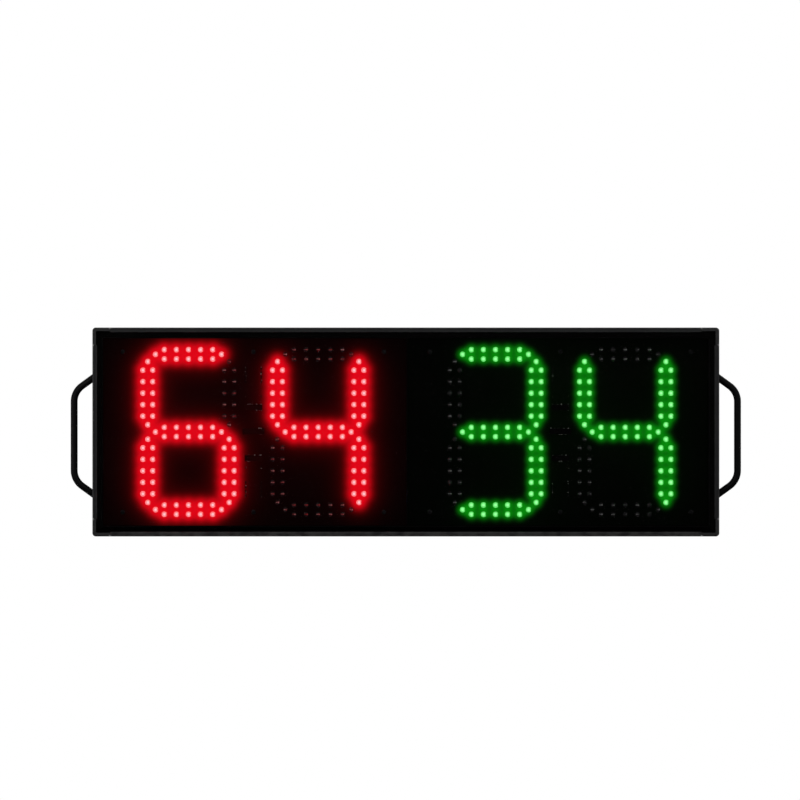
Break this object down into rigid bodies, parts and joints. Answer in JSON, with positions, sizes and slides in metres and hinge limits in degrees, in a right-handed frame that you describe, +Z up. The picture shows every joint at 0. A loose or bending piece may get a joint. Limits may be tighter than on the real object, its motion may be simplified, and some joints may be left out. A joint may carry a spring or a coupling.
{
  "type": "handheld led substitution board",
  "caption": "Slim hand-held numeral display board with side grips, a smoked window, dotted red and green LED digits, and keys, a power rocker and a charging jack on the back.",
  "frame": {"origin": "middle of the case's underside, at half the case's depth", "axes": "+X to the right of someone reading the digits, along the case's length; +Y from the window to the back; +Z up, from the underside to the top rail"},
  "size_m": [0.7698, 0.0434, 0.24],
  "materials": {
    "black_anodised": "satin",
    "black_moulding": "matte",
    "black_sheet": "matte",
    "blackened_screws": "satin",
    "board_green": "satin",
    "board_mask": "satin",
    "brass": "satin",
    "cap_rubber": "matte",
    "cell_cans": "satin",
    "chip_ceramic": "satin",
    "chip_epoxy": "matte",
    "gasket_foam": "matte",
    "handle_coat": "satin",
    "jack_black": "satin",
    "key_green": "satin",
    "key_grey": "satin",
    "key_red": "satin",
    "lamp_clear": "gloss",
    "lead_black": "satin",
    "lead_red": "satin",
    "led_clear": "gloss",
    "led_green_lit": "gloss",
    "led_red_lit": "gloss",
    "nickel": "satin",
    "overlay_print": "satin",
    "power_parts": "satin",
    "ribbon_grey": "satin",
    "rocker_black": "gloss",
    "sleeve_blue": "gloss",
    "smoked_acrylic": "gloss",
    "socket_ivory": "satin",
    "switch_black": "satin",
    "zinc_steel": "satin"
  },
  "bodies": {
    "case": {"back_cover": "black_sheet", "battery_cells": "cell_cans", "battery_protection_board": "board_green", "battery_saddles": "black_moulding", "battery_sleeve": "sleeve_blue", "battery_strips": "nickel", "board_passives": "chip_ceramic", "board_standoffs": "brass", "charge_jack": "jack_black", "charge_lamp": "lamp_clear", "control_overlay": "overlay_print", "controller_board": "board_green", "controller_chips": "chip_epoxy", "controller_power_parts": "power_parts", "corner_bottom_left": "black_moulding", "corner_bottom_right": "black_moulding", "corner_top_left": "black_moulding", "corner_top_right": "black_moulding", "cover_screws": "blackened_screws", "display_board_green": "board_mask", "display_board_red": "board_mask", "driver_chips": "chip_epoxy", "front_window": "smoked_acrylic", "handle_left": "handle_coat", "handle_nuts": "zinc_steel", "handle_right": "handle_coat", "handle_washers": "zinc_steel", "inner_screws": "zinc_steel", "jack_cap_anchor": "cap_rubber", "jack_nut": "nickel", "key_switches": "switch_black", "lead_sockets": "socket_ivory", "leds_green_tens_dark": "led_clear", "leds_green_tens_lit": "led_green_lit", "leds_green_units_dark": "led_clear", "leds_green_units_lit": "led_green_lit", "leds_red_tens_dark": "led_clear", "leds_red_tens_lit": "led_red_lit", "leds_red_units_dark": "led_clear", "leds_red_units_lit": "led_red_lit", "rail_bottom": "black_anodised", "rail_left": "black_anodised", "rail_right": "black_anodised", "rail_top": "black_anodised", "ribbon_left": "ribbon_grey", "ribbon_right": "ribbon_grey", "ribbon_sockets": "socket_ivory", "rocker_housing": "rocker_black", "supply_leads_black": "lead_black", "supply_leads_red": "lead_red", "window_gasket": "gasket_foam"},
    "key_brightness": {"key_brightness": "key_grey"},
    "key_green_tens": {"key_green_tens": "key_green"},
    "key_green_units": {"key_green_units": "key_green"},
    "key_red_tens": {"key_red_tens": "key_red"},
    "key_red_units": {"key_red_units": "key_red"},
    "key_swap": {"key_swap": "key_grey"},
    "rocker_key": {"rocker_key": "rocker_black"},
    "jack_cap": {"jack_cap": "cap_rubber"}
  },
  "joints": [
    {"name": "key_brightness_press", "type": "slide", "parent": "case", "child": "key_brightness", "axis": [0, -1, 0], "range_m": [0, 0.0015], "stiffness_N_per_m": 800, "springref_m": -0.001},
    {"name": "key_green_tens_press", "type": "slide", "parent": "case", "child": "key_green_tens", "axis": [0, -1, 0], "range_m": [0, 0.0015], "stiffness_N_per_m": 800, "springref_m": -0.001},
    {"name": "key_green_units_press", "type": "slide", "parent": "case", "child": "key_green_units", "axis": [0, -1, 0], "range_m": [0, 0.0015], "stiffness_N_per_m": 800, "springref_m": -0.001},
    {"name": "key_red_tens_press", "type": "slide", "parent": "case", "child": "key_red_tens", "axis": [0, -1, 0], "range_m": [0, 0.0015], "stiffness_N_per_m": 800, "springref_m": -0.001},
    {"name": "key_red_units_press", "type": "slide", "parent": "case", "child": "key_red_units", "axis": [0, -1, 0], "range_m": [0, 0.0015], "stiffness_N_per_m": 800, "springref_m": -0.001},
    {"name": "key_swap_press", "type": "slide", "parent": "case", "child": "key_swap", "axis": [0, -1, 0], "range_m": [0, 0.0015], "stiffness_N_per_m": 800, "springref_m": -0.001},
    {"name": "rocker_key_tilt", "type": "hinge", "parent": "case", "child": "rocker_key", "pos_m": [0.14, 0.0182, 0.124], "axis": [1, 0, 0], "range_deg": [-20, 0]},
    {"name": "jack_cap_flip", "type": "hinge", "parent": "case", "child": "jack_cap", "pos_m": [-0.14, 0.0214, 0.1336], "axis": [1, 0, 0], "range_deg": [0, 110]}
  ]
}
